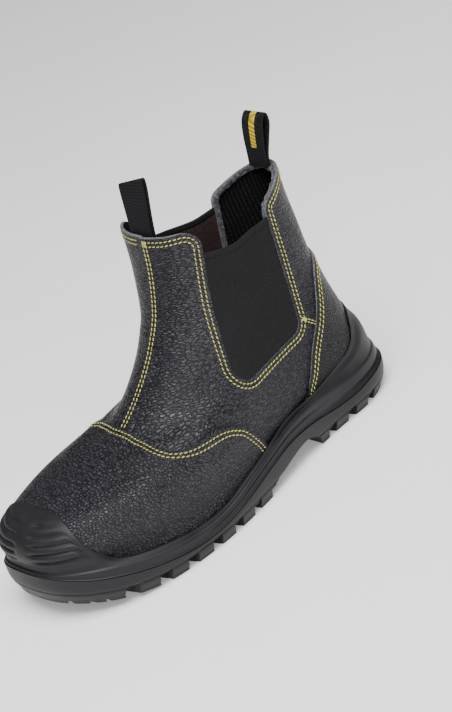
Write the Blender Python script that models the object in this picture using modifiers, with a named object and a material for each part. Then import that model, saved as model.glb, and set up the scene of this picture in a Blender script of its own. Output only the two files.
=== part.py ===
"""Left safety boot: a slip-on ankle boot with elastic sides, lug sole, toe bumper and two pull tabs.

Tables are in millimetres. +X is the toe, +Y the outer (lateral) side, +Z up, and the tread stands on z = 0.
Every curved piece comes from one function of the last, upper_point, at its own distance from the leather.
"""
import math

import bmesh
import bpy
import numpy as np
from mathutils import Matrix

MM = 0.001

# Middle of the sole's outline in these tables; the finished boot stands with it on the origin
CENTRE = (1.5, 3.95, 0.0)

# Wall thicknesses and the gaps between neighbours
LEATHER = 2.2
PANEL = 1.3
ELASTIC = 1.6
ELASTIC_RECESS = 0.5
WEBBING = 1.4
INSOLE = 4.0
GAP = 0.3
CURVED_GAP = 0.65

# The last: how far the toe swings inwards, and how far the toe of the sole lifts off the floor
SWING_START, SWING_TIP, TOE_X = -20.0, -7.0, 150.0
SPRING_START, TOE_SPRING = 70.0, 14.0

# Facets round the boot, and between the feather line and the collar
AROUND, UPRIGHT = 56, 18

# Sections of the upper, from the feather line at the sole to the collar. Each is a closed, nearly level line:
# where it starts and ends along the boot, how far it dips at the ball, the half widths of forefoot and heel
# with the places where they are reached, and how blunt the two ends are.
UPPER_COLUMNS = ("front_x", "front_z", "back_x", "back_z", "dip", "fore_x", "fore_lat", "fore_med",
                 "rear_x", "rear_w", "front_n", "back_n")
UPPER_SECTIONS = {
    "feather":  (141, 35, -138, 31, 8, 50, 55, 44, -100, 33, 2.45, 2.1),
    "wall":     (146, 48, -139, 45, 3, 50, 57, 47, -98, 36, 2.5, 2.1),
    "toe_top":  (137, 60, -135, 62, 0, 44, 53, 44, -96, 35, 2.3, 2.1),
    "vamp_low": (103, 66, -131.5, 79, 0, 12, 45, 40, -93, 34, 2.0, 2.1),
    "vamp_mid": (57, 73, -129, 95, 0, -24, 40, 37, -88, 33, 2.0, 2.1),
    "instep":   (25, 95, -128, 112, 0, -46, 38, 36, -83, 32, 2.1, 2.1),
    "ankle":    (3, 123, -128, 133, 0, -54, 36, 35, -80, 30.5, 2.2, 2.1),
    "shaft":    (-7.5, 152, -127.5, 156, 0, -54, 36, 36, -80, 29, 2.4, 2.1),
    "collar":   (-14, 186, -128.5, 190, 0, -50, 36, 37, -82, 28, 2.8, 2.1),
}

# Outlines of the tread block from the floor up, and of the midsole from that lip up to the feather line.
# rise is the share of the height between the two.
LIP_Z, LIP_SPRING = 16.5, 0.95
SOLE_COLUMNS = ("rise", "front_x", "back_x", "fore_x", "fore_lat", "fore_med", "rear_x", "rear_w",
                "front_n", "back_n")
OUTSOLE_SECTIONS = {
    "ground": (0.0, 147, -146, 56, 61.0, 50.0, -98, 37.5, 2.5, 2.2),
    "tread":  (0.4, 153, -150, 56, 62.5, 51.5, -98, 40.0, 2.6, 2.3),
    "lip":    (1.0, 155, -152, 55, 63.5, 52.5, -98, 41.0, 2.6, 2.3),
}
MIDSOLE_SECTIONS = {
    "seat":   (0.0, 154, -151, 55, 62.8, 51.8, -98, 40.2, 2.6, 2.3),
    "recess": (0.2, 152.5, -149.5, 55, 61.2, 50.2, -98, 38.8, 2.6, 2.3),
    "band":   (0.5, 153.5, -149.5, 55, 62.0, 51.0, -98, 39.6, 2.6, 2.3),
    "ledge":  (0.8, 153, -148, 54, 61.4, 50.4, -98, 39.2, 2.6, 2.3),
    "step":   (0.9, 151, -146.5, 54, 60.2, 49.4, -98, 38.2, 2.6, 2.3),
}

# How high the midsole's rim climbs the leather, as (angle round the boot, climb): a bumper over the toe,
# a low band along the sides and a cup at the heel. Climb counts sections of the upper.
RIM = ((0, 2.45), (12, 2.36), (22, 2.10), (29, 1.55), (34, 0.80), (40, 0.34), (50, 0.24), (90, 0.24),
       (112, 0.28), (124, 0.52), (136, 1.05), (150, 1.62), (165, 1.95), (180, 2.05))
RIM_THICKNESS, CUP_THICKNESS = 1.0, 3.0
RIM_LEVELS, CUP_LEVELS = 10, 7
RIM_CORNER = (22.5, 28.9, 35.4)
TOE_RIBS, TOE_RIB_DEPTH, TOE_RIB_ANGLE = 5, 1.1, 36

# Sewn edges of the leather overlays, as (angle round the boot, climb)
VAMP_EDGE = ((0, 4.20), (14, 4.13), (28, 3.94), (41, 3.60), (50, 3.31), (58, 2.96), (66, 2.62), (74, 2.37),
             (81, 2.23), (86, 2.08), (90, 1.82), (94, 1.37), (96.5, 0.85), (98.5, 0.30))
COUNTER_EDGE = ((119, 0.30), (121.3, 0.75), (123.8, 1.20), (127, 1.68), (131, 2.30), (134.6, 2.95), (138, 3.75),
                (142, 4.30), (150, 4.70), (165, 4.85), (180, 4.88))
VAMP_ROWS, COUNTER_ROWS = 10, 9
PANEL_FOOT = 0.12
STEEP_SPACING = 5.5
# The midsole leaves room for these two panels, and lies on the bare shell between them: (angle, panels)
TUCK = ((0, 1), (100, 1), (106, 0), (111, 0), (117, 1), (180, 1))

# Cut-out for the elastic seen from the side, and the collar line that it runs into: corners as (x, z, radius)
CUT_OUT = {
    "above_front":   (30, 215, 0),
    "collar_front":  (30, 182, 0),
    "front_corner":  (-35.5, 182, 12),
    "bottom_front":  (-16.5, 72, 13),
    "bottom_rear":   (-83, 77, 13),
    "rear_corner":   (-93, 163, 8),
    "collar_back":   (-139, 179, 0),
    "above_back":    (-139, 215, 0),
}
ELASTIC_TOP_FRONT_Z, ELASTIC_TOP_REAR_Z, ELASTIC_TOP_SAG = 163.0, 155.0, 3.0
ELASTIC_ANGLES, ELASTIC_CLIMB = (42, 138), (3.0, 7.6)
ELASTIC_COLUMNS, ELASTIC_ROWS = 10, 9
CUT_REACH = 120.0

# Pull tabs: the width of the webbing, and its folds seen from the side as (x, z)
TAB_WIDTH = 21.5
FRONT_TAB = {
    "outer_end":   (-13.8, 158),
    "outer_base":  (-17.2, 182),
    "outer_mid":   (-19.0, 197),
    "outer_top":   (-20.6, 211.4),
    "fold":        (-21.8, 213.4),
    "inner_top":   (-23.0, 211),
    "inner_mid":   (-21.2, 196.6),
    "inner_base":  (-19.4, 181.6),
    "inner_end":   (-16.0, 158),
}
BACK_TAB = {
    "outer_end":   (-119.1, 158),
    "outer_base":  (-121.5, 179),
    "outer_mid":   (-127.7, 192),
    "outer_top":   (-133.0, 202),
    "fold":        (-131.0, 208),
    "inner_top":   (-124.1, 204),
    "inner_mid":   (-120.3, 192.5),
    "inner_base":  (-119.1, 179),
    "inner_end":   (-116.9, 158),
}
TAB_SEGMENTS = 30

# Tread: lugs are left between notches cut in from each side
FORE_NOTCH_FRONT, FORE_NOTCHES = 124.0, 7
HEEL_NOTCH_FRONT, HEEL_NOTCHES = -68.0, 3
LUG_PITCH, NOTCH_WIDTH, NOTCH_DEPTH, NOTCH_INNER = 20.4, 7.2, 5.5, 24.0
NOTCH_SLANT = math.radians(14)
ARCH_X, ARCH_HALF, ARCH_HEIGHT = -41.0, 14.0, 6.5

COLOURS = {
    "sole_black": (0.020, 0.020, 0.022),
    "leather_black": (0.016, 0.016, 0.019),
    "elastic_charcoal": (0.024, 0.024, 0.025),
    "webbing_black": (0.014, 0.014, 0.015),
    "insole_grey": (0.060, 0.060, 0.062),
}
ROUGHNESS = {"sole_black": 0.62, "leather_black": 0.45, "elastic_charcoal": 0.85, "webbing_black": 0.8,
             "insole_grey": 0.9}


def smooth_step(start, end, x):
    t = np.clip((x - start) / (end - start), 0, 1)
    return t * t * (3 - 2 * t)


def section_at(sections, climb):
    """Row between the sections, on a smooth curve through them."""
    table = np.array(list(sections.values()), float)
    low = int(min(max(math.floor(climb), 0), len(table) - 2))
    t = climb - low
    here, there = table[low], table[low + 1]
    before = table[low - 1] if low > 0 else 2 * here - there
    after = table[low + 2] if low + 2 < len(table) else 2 * there - here
    return 0.5 * (2 * here + (there - before) * t + (2 * before - 5 * here + 4 * there - after) * t ** 2
                  + (3 * here - before - 3 * there + after) * t ** 3)


def swing(x):
    return SWING_TIP * max((x - SWING_START) / (TOE_X - SWING_START), 0) ** 2


def outline(angle, front_x, back_x, fore_x, fore_lat, fore_med, rear_x, rear_w, front_n, back_n):
    """Point of a level outline: angle 0 at the toe, 180 at the heel, positive on the outer side."""
    x = (front_x + back_x) / 2 + (front_x - back_x) / 2 * math.cos(angle)
    side = 1 if math.sin(angle) >= 0 else -1
    fore = fore_lat if side > 0 else fore_med
    width = rear_w + (fore - rear_w) * smooth_step(rear_x, fore_x, x)
    toe = np.clip((x - fore_x) / (front_x - fore_x), 0, 1)
    heel = np.clip((rear_x - x) / (rear_x - back_x), 0, 1)
    ends = (1 - toe ** front_n) ** (1 / front_n) * (1 - heel ** back_n) ** (1 / back_n)
    return x, side * width * ends + swing(x)


def upper_point(angle, climb):
    """Outer face of the leather."""
    row = dict(zip(UPPER_COLUMNS, section_at(UPPER_SECTIONS, climb)))
    front_z, back_z, dip = row.pop("front_z"), row.pop("back_z"), row.pop("dip")
    x, y = outline(angle, **row)
    along = np.clip((x - row["back_x"]) / (row["front_x"] - row["back_x"]), 0, 1)
    return np.array((x, y, back_z + (front_z - back_z) * along - dip * math.sin(math.pi * along ** 1.6) ** 2))


def offset_point(angle, climb, distance):
    """Point at a distance outside the leather, along its normal."""
    turn, lift = 0.03, 0.03
    top = len(UPPER_SECTIONS) - 1
    across = upper_point(angle + turn, climb) - upper_point(angle - turn, climb)
    upwards = upper_point(angle, min(climb + lift, top)) - upper_point(angle, max(climb - lift, 0))
    normal = np.cross(across, upwards)
    return upper_point(angle, climb) + distance * normal / np.linalg.norm(normal)


def feather_z(x):
    """Height of the line where leather meets sole."""
    row = dict(zip(UPPER_COLUMNS, section_at(UPPER_SECTIONS, 0)))
    along = np.clip((x - row["back_x"]) / (row["front_x"] - row["back_x"]), 0, 1)
    rise = row["back_z"] + (row["front_z"] - row["back_z"]) * along
    return rise - row["dip"] * math.sin(math.pi * along ** 1.6) ** 2


def tread_z(x):
    """Underside of the tread: flat at heel and ball, lifted at the toe."""
    return TOE_SPRING * max((x - SPRING_START) / (TOE_X - SPRING_START), 0) ** 2


def lip_z(x):
    """Top of the tread block, where the midsole starts."""
    return LIP_Z + LIP_SPRING * tread_z(x)


def table_at(table, angle):
    """Second column of a table by angle, alike on both sides of the boot."""
    degrees = abs(math.degrees(math.remainder(angle, 2 * math.pi)))
    angles, values = zip(*table)
    return float(np.interp(degrees, angles, values))


def angles_round():
    return [2 * math.pi * k / AROUND for k in range(AROUND)]


def sole_angles():
    """Columns of the sole: the shell's own, and some more where the toe bumper's edge is steep."""
    corner = [math.radians(angle) for angle in RIM_CORNER]
    return sorted(angles_round() + corner + [2 * math.pi - angle for angle in corner])


def parts_collection(name):
    collection = bpy.data.collections.new(name)
    bpy.context.scene.collection.children.link(collection)
    return collection


def principled(name):
    material = bpy.data.materials.new(name)
    material.use_nodes = True
    shader = material.node_tree.nodes["Principled BSDF"]
    shader.inputs["Base Color"].default_value = (*COLOURS[name], 1)
    shader.inputs["Roughness"].default_value = ROUGHNESS[name]
    shader.inputs["Metallic"].default_value = 0.0
    return material


def add_object(name, bm, collection, material=None):
    mesh = bpy.data.meshes.new(name)
    bm.to_mesh(mesh)
    bm.free()
    mesh.shade_smooth()
    mesh.set_sharp_from_angle(angle=math.radians(35))
    obj = bpy.data.objects.new(name, mesh)
    collection.objects.link(obj)
    if material:
        mesh.materials.append(material)
    return obj


def sheet(columns, rows, place):
    """Grid of columns by rows cells, each corner moved to place(column, row) in millimetres."""
    bm = bmesh.new()
    bmesh.ops.create_grid(bm, x_segments=columns, y_segments=rows, size=0.5)
    for vert in bm.verts:
        column, row = round((vert.co.x + 0.5) * columns), round((vert.co.y + 0.5) * rows)
        vert.co = place(column, row) * MM
    bmesh.ops.remove_doubles(bm, verts=bm.verts, dist=1e-6)
    return bm


def thicken(obj, thickness, offset):
    """Wall of a thickness: offset 1 grows it outwards, -1 inwards, 0 both ways."""
    wall = obj.modifiers.new("wall", "SOLIDIFY")
    wall.thickness = thickness * MM
    wall.offset = offset
    wall.use_even_offset = True


def loft(loops, collection, name, material):
    """Closed solid through loops of points; the first and last are closed across, from side to side."""
    bm = bmesh.new()
    rings = [[bm.verts.new(point * MM) for point in loop] for loop in loops]
    for low, high in zip(rings, rings[1:]):
        for k in range(-1, len(low) - 1):
            bm.faces.new((low[k], low[k + 1], high[k + 1], high[k]))
    for ring in (rings[0], rings[-1]):
        for k in range(len(ring) // 2):
            corners = [ring[k], ring[k + 1], ring[-k - 1], ring[-k]]
            bm.faces.new(list(dict.fromkeys(corners)))
    bmesh.ops.recalc_face_normals(bm, faces=bm.faces)
    return add_object(name, bm, collection, material)


def cut(obj, cutter, operation):
    knife = obj.modifiers.new(cutter.name, "BOOLEAN")
    knife.operation = operation
    knife.solver = "EXACT"
    knife.object = cutter


def rounded(corners, steps=6):
    """Outline through corners with their arcs."""
    points = []
    corners = [np.array(corner, float) for corner in corners]
    for before, (x, z, radius), after in zip(corners[-1:] + corners, corners, corners[1:] + corners[:1]):
        corner = np.array((x, z))
        if not radius:
            points.append(corner)
            continue
        to_before, to_after = before[:2] - corner, after[:2] - corner
        to_before, to_after = to_before / np.linalg.norm(to_before), to_after / np.linalg.norm(to_after)
        half = math.acos(np.clip(to_before @ to_after, -1, 1)) / 2
        reach = radius / math.tan(half)
        start, end = corner + to_before * reach, corner + to_after * reach
        middle = corner + (to_before + to_after) / np.linalg.norm(to_before + to_after) * radius / math.sin(half)
        first = math.atan2(*(start - middle)[::-1])
        sweep = math.remainder(math.atan2(*(end - middle)[::-1]) - first, 2 * math.pi)
        for k in range(steps + 1):
            turn = first + sweep * k / steps
            points.append(middle + radius * np.array((math.cos(turn), math.sin(turn))))
    return points


def inset(points, distance):
    """The same closed outline drawn a distance further in."""
    area = sum(a[0] * b[1] - b[0] * a[1] for a, b in zip(points, points[1:] + points[:1]))
    turned = []
    for before, here, after in zip(points[-1:] + points, points, points[1:] + points[:1]):
        along = (here - before) / np.linalg.norm(here - before) + (after - here) / np.linalg.norm(after - here)
        along = along / np.linalg.norm(along)
        inward = np.array((-along[1], along[0])) * (1 if area > 0 else -1)
        turned.append(here + inward * distance)
    return turned


def prism(name, points, near_y, far_y, collection):
    """Cutter: a side outline swept across the boot."""
    bm = bmesh.new()
    face = bm.faces.new([bm.verts.new((x * MM, near_y * MM, z * MM)) for x, z in points])
    swept = bmesh.ops.extrude_face_region(bm, geom=[face])["geom"]
    moved = [item for item in swept if isinstance(item, bmesh.types.BMVert)]
    bmesh.ops.translate(bm, verts=moved, vec=(0, (far_y - near_y) * MM, 0))
    bmesh.ops.recalc_face_normals(bm, faces=bm.faces)
    obj = add_object(name, bm, collection)
    obj.hide_render = True
    obj.display_type = "WIRE"
    return obj


def make_upper(parts, cutters, leather):
    """Lasted shell, open at the collar and underneath, with the two cut-outs for the elastic."""
    top = len(UPPER_SECTIONS) - 1
    bm = sheet(AROUND, UPRIGHT, lambda i, j: upper_point(2 * math.pi * i / AROUND, top * j / UPRIGHT))
    upper = add_object("upper", bm, parts, leather)
    thicken(upper, LEATHER, -1)
    cut(upper, prism("cut_out", rounded(CUT_OUT.values()), -CUT_REACH, CUT_REACH, cutters), "DIFFERENCE")


def edge_at(low, high, z):
    """Point of the straight side between two corners of the cut-out at a height."""
    (x_low, z_low, _), (x_high, z_high, _) = CUT_OUT[low], CUT_OUT[high]
    return x_low + (x_high - x_low) * (z - z_low) / (z_high - z_low), z


def make_gussets(parts, cutters, elastic):
    """Elastic panels: the shell's own form a little further in, cut to the cut-out's outline."""
    front = edge_at("bottom_front", "front_corner", ELASTIC_TOP_FRONT_Z)
    rear = edge_at("bottom_rear", "rear_corner", ELASTIC_TOP_REAR_Z)
    middle = ((front[0] + rear[0]) / 2, (front[1] + rear[1]) / 2 - ELASTIC_TOP_SAG)
    corners = [(*front, 0), CUT_OUT["bottom_front"], CUT_OUT["bottom_rear"], (*rear, 0), (*middle, 90)]
    shape = inset(rounded(corners), GAP)
    for side, name in ((1, "gusset_lateral"), (-1, "gusset_medial")):
        def place(i, j):
            angle = np.interp(i / ELASTIC_COLUMNS, (0, 1), ELASTIC_ANGLES)
            climb = np.interp(j / ELASTIC_ROWS, (0, 1), ELASTIC_CLIMB)
            return offset_point(side * math.radians(angle), climb, -ELASTIC_RECESS)
        panel = add_object(name, sheet(ELASTIC_COLUMNS, ELASTIC_ROWS, place), parts, elastic)
        if side < 0:
            panel.data.flip_normals()
        thicken(panel, ELASTIC, -1)
        cut(panel, prism(name + "_outline", shape, 0, side * CUT_REACH, cutters), "INTERSECT")


def panel_angles(edge):
    """Columns of a panel: the shell's own, and the angles of its edge where that is steep."""
    angles = [angle for angle, _ in edge]
    steep = {a for low, high in zip(angles, angles[1:]) for a in (low, high) if high - low < STEEP_SPACING}
    shared = [math.degrees(math.remainder(angle, 2 * math.pi)) for angle in angles_round()]
    clear = [a for a in shared if angles[0] <= a <= angles[-1] and not min(steep) - 2 < a < max(steep) + 2]
    return [math.radians(a) for a in sorted(steep.union(clear))]


def make_overlay(name, edge, angles, rows, parts, leather):
    """Leather panel over the shell, from below the rim of the sole up to its sewn edge."""
    def place(i, j):
        climb = PANEL_FOOT + (table_at(edge, angles[i]) - PANEL_FOOT) * j / rows
        return offset_point(angles[i], climb, CURVED_GAP)
    panel = add_object(name, sheet(len(angles) - 1, rows, place), parts, leather)
    thicken(panel, PANEL, 1)


def make_vamp(parts, leather):
    half = panel_angles(VAMP_EDGE)
    make_overlay("vamp", VAMP_EDGE, [-angle for angle in half[:0:-1]] + half, VAMP_ROWS, parts, leather)


def make_heel_counter(parts, leather):
    half = panel_angles(COUNTER_EDGE)
    mirrored = [2 * math.pi - angle for angle in half[-2::-1]]
    make_overlay("heel_counter", COUNTER_EDGE, half + mirrored, COUNTER_ROWS, parts, leather)


def sole_loop(row, low_z, high_z, lift=0.0):
    """Outline of the sole at its share of the height between two lines along the boot."""
    shape = dict(zip(SOLE_COLUMNS, row))
    rise = shape.pop("rise")
    points = [outline(angle, **shape) for angle in sole_angles()]
    return [np.array((x, y, low_z(x) + rise * (high_z(x) - low_z(x)) + lift)) for x, y in points]


def rim_clearance(angle):
    """Distance from the bare shell to the inside of the midsole's rim."""
    return GAP + CURVED_GAP + (CURVED_GAP + PANEL) * table_at(TUCK, angle)


def rim_loop(share, distance):
    """Loop on the rim: share 0 at the feather line, 1 at the rim's edge."""
    return [offset_point(a, share * table_at(RIM, a), distance(a)) for a in sole_angles()]


def make_midsole(parts, rubber):
    """Tray that the lasted upper sits in, with its side ledges, ribbed toe bumper and heel cup."""
    def outside(share):
        def distance(angle):
            degrees = abs(math.degrees(math.remainder(angle, 2 * math.pi)))
            rib = math.sin(math.pi * TOE_RIBS * share) ** 2 * smooth_step(TOE_RIB_ANGLE, TOE_RIB_ANGLE / 2, degrees)
            wall = CUP_THICKNESS + (RIM_THICKNESS - CUP_THICKNESS) * share
            return rim_clearance(angle) + wall + TOE_RIB_DEPTH * rib * (1 - share ** 4)
        return distance
    loops = [sole_loop(row, lip_z, feather_z, GAP) for row in MIDSOLE_SECTIONS.values()]
    loops += [rim_loop(k / RIM_LEVELS, outside(k / RIM_LEVELS)) for k in range(1, RIM_LEVELS + 1)]
    loops += [rim_loop(1 - k / CUP_LEVELS, rim_clearance) for k in range(CUP_LEVELS + 1)]
    floor = [np.array((x, y, feather_z(x) - GAP)) for x, y, _ in loops[-1]]
    loft(loops + [floor], parts, "midsole", rubber)


def make_outsole(parts, cutters, rubber):
    """Tread block with notches between the side lugs, and the arch under the waist."""
    block = loft([sole_loop(row, tread_z, lip_z) for row in OUTSOLE_SECTIONS.values()], parts, "outsole", rubber)
    bm = bmesh.new()
    fronts = [FORE_NOTCH_FRONT - LUG_PITCH * k for k in range(FORE_NOTCHES)]
    fronts += [HEEL_NOTCH_FRONT - LUG_PITCH * k for k in range(HEEL_NOTCHES)]
    for front in fronts:
        x = front - NOTCH_WIDTH / 2
        for side in (1, -1):
            box = bmesh.ops.create_cube(bm, size=1)["verts"]
            reach = CUT_REACH - NOTCH_INNER
            bmesh.ops.scale(bm, verts=box, vec=(NOTCH_WIDTH * MM, reach * MM, 2 * NOTCH_DEPTH * MM))
            bmesh.ops.translate(bm, verts=box, vec=(0, side * reach / 2 * MM, 0))
            bmesh.ops.rotate(bm, verts=box, matrix=Matrix.Rotation(side * NOTCH_SLANT, 3, "Z"))
            place = (x * MM, (side * NOTCH_INNER + swing(x)) * MM, tread_z(x) * MM)
            bmesh.ops.translate(bm, verts=box, vec=place)
    notches = add_object("tread_notches", bm, cutters)
    bm = bmesh.new()
    arch = bmesh.ops.create_cone(bm, cap_ends=True, segments=32, radius1=1, radius2=1, depth=2 * CUT_REACH * MM)
    bmesh.ops.rotate(bm, verts=arch["verts"], matrix=Matrix.Rotation(math.pi / 2, 3, "X"))
    bmesh.ops.scale(bm, verts=arch["verts"], vec=(ARCH_HALF * MM, 1, ARCH_HEIGHT * MM))
    bmesh.ops.translate(bm, verts=arch["verts"], vec=(ARCH_X * MM, 0, 0))
    hollow = add_object("arch", bm, cutters)
    for cutter in (notches, hollow):
        cutter.hide_render = True
        cutter.display_type = "WIRE"
        cut(block, cutter, "DIFFERENCE")


def make_insole(parts, foam):
    """Footbed on the midsole's floor, inside the shell."""
    edge = [offset_point(a, 0.1, -(LEATHER + 2 * CURVED_GAP)) for a in sole_angles()]
    loops = [[np.array((x, y, feather_z(x) + lift)) for x, y, _ in edge] for lift in (0, INSOLE)]
    loft(loops, parts, "insole", foam)


def make_tab(name, folds, parts, webbing):
    """Webbing bent along its folds, on a smooth curve through them."""
    def place(i, j):
        x, z = section_at(folds, (len(folds) - 1) * i / TAB_SEGMENTS)
        return np.array((x, TAB_WIDTH * (0.5 - j), z))
    tab = add_object(name, sheet(TAB_SEGMENTS, 1, place), parts, webbing)
    thicken(tab, WEBBING, 0)


for old in list(bpy.data.objects):
    bpy.data.objects.remove(old)
boot = parts_collection("safety_boot")
knives = parts_collection("cutters")
finish = {name: principled(name) for name in COLOURS}

make_outsole(boot, knives, finish["sole_black"])
make_midsole(boot, finish["sole_black"])
make_upper(boot, knives, finish["leather_black"])
make_vamp(boot, finish["leather_black"])
make_heel_counter(boot, finish["leather_black"])
make_gussets(boot, knives, finish["elastic_charcoal"])
make_insole(boot, finish["insole_grey"])
make_tab("pull_tab_front", FRONT_TAB, boot, finish["webbing_black"])
make_tab("pull_tab_back", BACK_TAB, boot, finish["webbing_black"])

stand = bpy.data.objects.new("stand", None)
stand.location = [-MM * middle for middle in CENTRE]
for piece in (*boot.objects, *knives.objects):
    piece.parent = stand
boot.objects.link(stand)
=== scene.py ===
from math import acos, atan2, cos, pi, radians, remainder, sin, tan

import bpy
import numpy as np
from mathutils import Matrix, Vector


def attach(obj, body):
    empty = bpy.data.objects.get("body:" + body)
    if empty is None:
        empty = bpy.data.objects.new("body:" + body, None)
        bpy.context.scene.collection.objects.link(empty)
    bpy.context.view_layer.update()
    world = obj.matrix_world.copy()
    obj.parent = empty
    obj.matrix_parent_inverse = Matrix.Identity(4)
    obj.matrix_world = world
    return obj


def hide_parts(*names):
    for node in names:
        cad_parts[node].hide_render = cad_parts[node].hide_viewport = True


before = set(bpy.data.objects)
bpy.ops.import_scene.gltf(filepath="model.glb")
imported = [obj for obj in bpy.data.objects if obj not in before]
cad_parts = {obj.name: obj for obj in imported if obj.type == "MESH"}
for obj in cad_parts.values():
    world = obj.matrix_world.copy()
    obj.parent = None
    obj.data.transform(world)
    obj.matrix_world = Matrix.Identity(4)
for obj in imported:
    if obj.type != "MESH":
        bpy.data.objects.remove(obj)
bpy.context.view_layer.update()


# Studio: a pale floor, a large softbox high on the outer side, a weaker one low beside it and a dim white
# room. The camera stands where the photograph was taken from, with its long lens and its roll.
MM = 0.001
CAMERA_AIM, CAMERA_DISTANCE = Vector((-28.9, 18.05, 83.0)), 1500.0
CAMERA_AZIMUTH, CAMERA_ELEVATION, CAMERA_ROLL = 58.0, 26.5, -21.0
IMAGE_HEIGHT, FOCAL_PIXELS, AXIS_BELOW_MIDDLE = 712, 2337.5, 7
SENSOR_SIZE = 36.0
FLOOR_SIZE, FLOOR_DROP, FLOOR_GLOW = 9.0, 0.0002, 0.25
# Azimuth from the toe towards the outer side, elevation, distance in metres, size in metres, watts
SOFTBOXES = {
    "key_softbox": (58, 70, 1.7, 1.3, 60),
    "side_softbox": (60, 28, 1.9, 0.9, 8),
}
WHITE, ROOM_STRENGTH = "#ffffff", 0.16


def hex_colour(code):
    """Linear colour of an sRGB hex code."""
    channels = np.array([int(code[k:k + 2], 16) for k in (1, 3, 5)]) / 255
    linear = np.where(channels <= 0.04045, channels / 12.92, ((channels + 0.055) / 1.055) ** 2.4)
    return (*linear.tolist(), 1.0)


def set_inputs(node, inputs):
    """Each input is a value, a socket to link from, or a node whose first output is linked."""
    for name, value in inputs.items():
        if isinstance(value, bpy.types.Node):
            value = value.outputs[0]
        if isinstance(value, bpy.types.NodeSocket):
            node.id_data.links.new(value, node.inputs[name])
        else:
            node.inputs[name].default_value = value


def add_node(tree, kind, inputs=None, stops=(), **settings):
    """Shader node of a kind; stops are the two (position, colour) of a ramp."""
    node = tree.nodes.new("ShaderNode" + kind)
    for name, value in settings.items():
        setattr(node, name, value)
    set_inputs(node, inputs or {})
    for k, (position, code) in enumerate(stops):
        node.color_ramp.elements[k].position = position
        node.color_ramp.elements[k].color = hex_colour(code)
    return node


def new_finish(name, constants):
    """Material, its node tree, its shader with what is the same all over, and its texture coordinates."""
    finish = bpy.data.materials.new(name)
    finish.use_nodes = True
    tree = finish.node_tree
    shader = tree.nodes["Principled BSDF"]
    set_inputs(shader, constants)
    return finish, tree, shader, add_node(tree, "TexCoord")


def speckled_finish(name, constants, scale, detail, stops, relief=None):
    """Material coloured by one noise, scale cells to the metre; relief is its strength and depth in mm."""
    finish, tree, shader, place = new_finish(name, constants)
    noise = add_node(tree, "TexNoise", {"Vector": place.outputs["Object"], "Scale": scale, "Detail": detail})
    set_inputs(shader, {"Base Color": add_node(tree, "ValToRGB", {"Fac": noise}, stops)})
    if relief:
        bumps = {"Height": noise, "Strength": relief[0], "Distance": relief[1] * MM}
        set_inputs(shader, {"Normal": add_node(tree, "Bump", bumps)})
    return finish


def direction_to(azimuth, elevation):
    azimuth, elevation = radians(azimuth), radians(elevation)
    return Vector((cos(elevation) * cos(azimuth), cos(elevation) * sin(azimuth), sin(elevation)))


def looking_back(direction, roll=0.0):
    """Rotation of a camera or lamp that looks back along a direction."""
    turn = direction.to_track_quat("Z", "Y").to_matrix() @ Matrix.Rotation(radians(roll), 3, "Z")
    return turn.to_euler()


sight = direction_to(CAMERA_AZIMUTH, CAMERA_ELEVATION)
bpy.ops.object.camera_add(location=(CAMERA_AIM + CAMERA_DISTANCE * sight) * MM,
                          rotation=looking_back(sight, CAMERA_ROLL))
camera = bpy.context.object
camera.data.sensor_width = SENSOR_SIZE
camera.data.lens = SENSOR_SIZE * FOCAL_PIXELS / IMAGE_HEIGHT
camera.data.shift_y = AXIS_BELOW_MIDDLE / IMAGE_HEIGHT
bpy.context.scene.camera = camera

for lamp_name, (azimuth, elevation, distance, size, watts) in SOFTBOXES.items():
    ray = direction_to(azimuth, elevation)
    bpy.ops.object.light_add(type="AREA", location=CAMERA_AIM * MM + distance * ray,
                             rotation=looking_back(ray))
    lamp = bpy.context.object
    lamp.name = lamp_name
    lamp.data.size = size
    lamp.data.energy = watts

room = bpy.data.worlds.new("white_room")
room.use_nodes = True
set_inputs(room.node_tree.nodes["Background"], {"Color": hex_colour(WHITE), "Strength": ROOM_STRENGTH})
bpy.context.scene.world = room

# Studio paper: matt and nearly white, with a very faint mottle
paper = speckled_finish(
    "studio_paper",
    {"Roughness": 0.9, "Emission Strength": FLOOR_GLOW, "Emission Color": hex_colour(WHITE)},
    6.0, 2.0, ((0.3, "#f3f3f2"), (0.7, "#f7f7f6")))
bpy.ops.mesh.primitive_plane_add(size=FLOOR_SIZE, location=(0, 0, -FLOOR_DROP))
floor = bpy.context.object
floor.name = "floor"
floor.data.materials.append(paper)


# Leather shell: two quarters of black grained cowhide pulled over the last, the outer one lapped over the
# inner one down the front, with a textile lining inside and two cut-outs for the elastic.
# All pieces are laid on the last, in millimetres: +X is the toe, +Y the outer side.
CENTRE = np.array((1.5, 3.95, 0.0))
# Level lines of the last from the feather line up to the collar: front_x, front_z, back_x, back_z, dip at
# the ball, fore_x, fore_lat, fore_med, rear_x, rear_w, front_n, back_n
LAST = np.array((
    (141, 35, -138, 31, 8, 50, 55, 44, -100, 33, 2.45, 2.1),
    (146, 48, -139, 45, 3, 50, 57, 47, -98, 36, 2.5, 2.1),
    (137, 60, -135, 62, 0, 44, 53, 44, -96, 35, 2.3, 2.1),
    (103, 66, -131.5, 79, 0, 12, 45, 40, -93, 34, 2.0, 2.1),
    (57, 73, -129, 95, 0, -24, 40, 37, -88, 33, 2.0, 2.1),
    (25, 95, -128, 112, 0, -46, 38, 36, -83, 32, 2.1, 2.1),
    (3, 123, -128, 133, 0, -54, 36, 35, -80, 30.5, 2.2, 2.1),
    (-7.5, 152, -127.5, 156, 0, -54, 36, 36, -80, 29, 2.4, 2.1),
    (-14, 186, -128.5, 190, 0, -50, 36, 37, -82, 28, 2.8, 2.1),
), float)
LEVEL_COLUMNS = [0, 2, 5, 6, 7, 8, 9, 10, 11]
DIP_PLACE = 1.6
TOP = len(LAST) - 1.0
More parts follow.
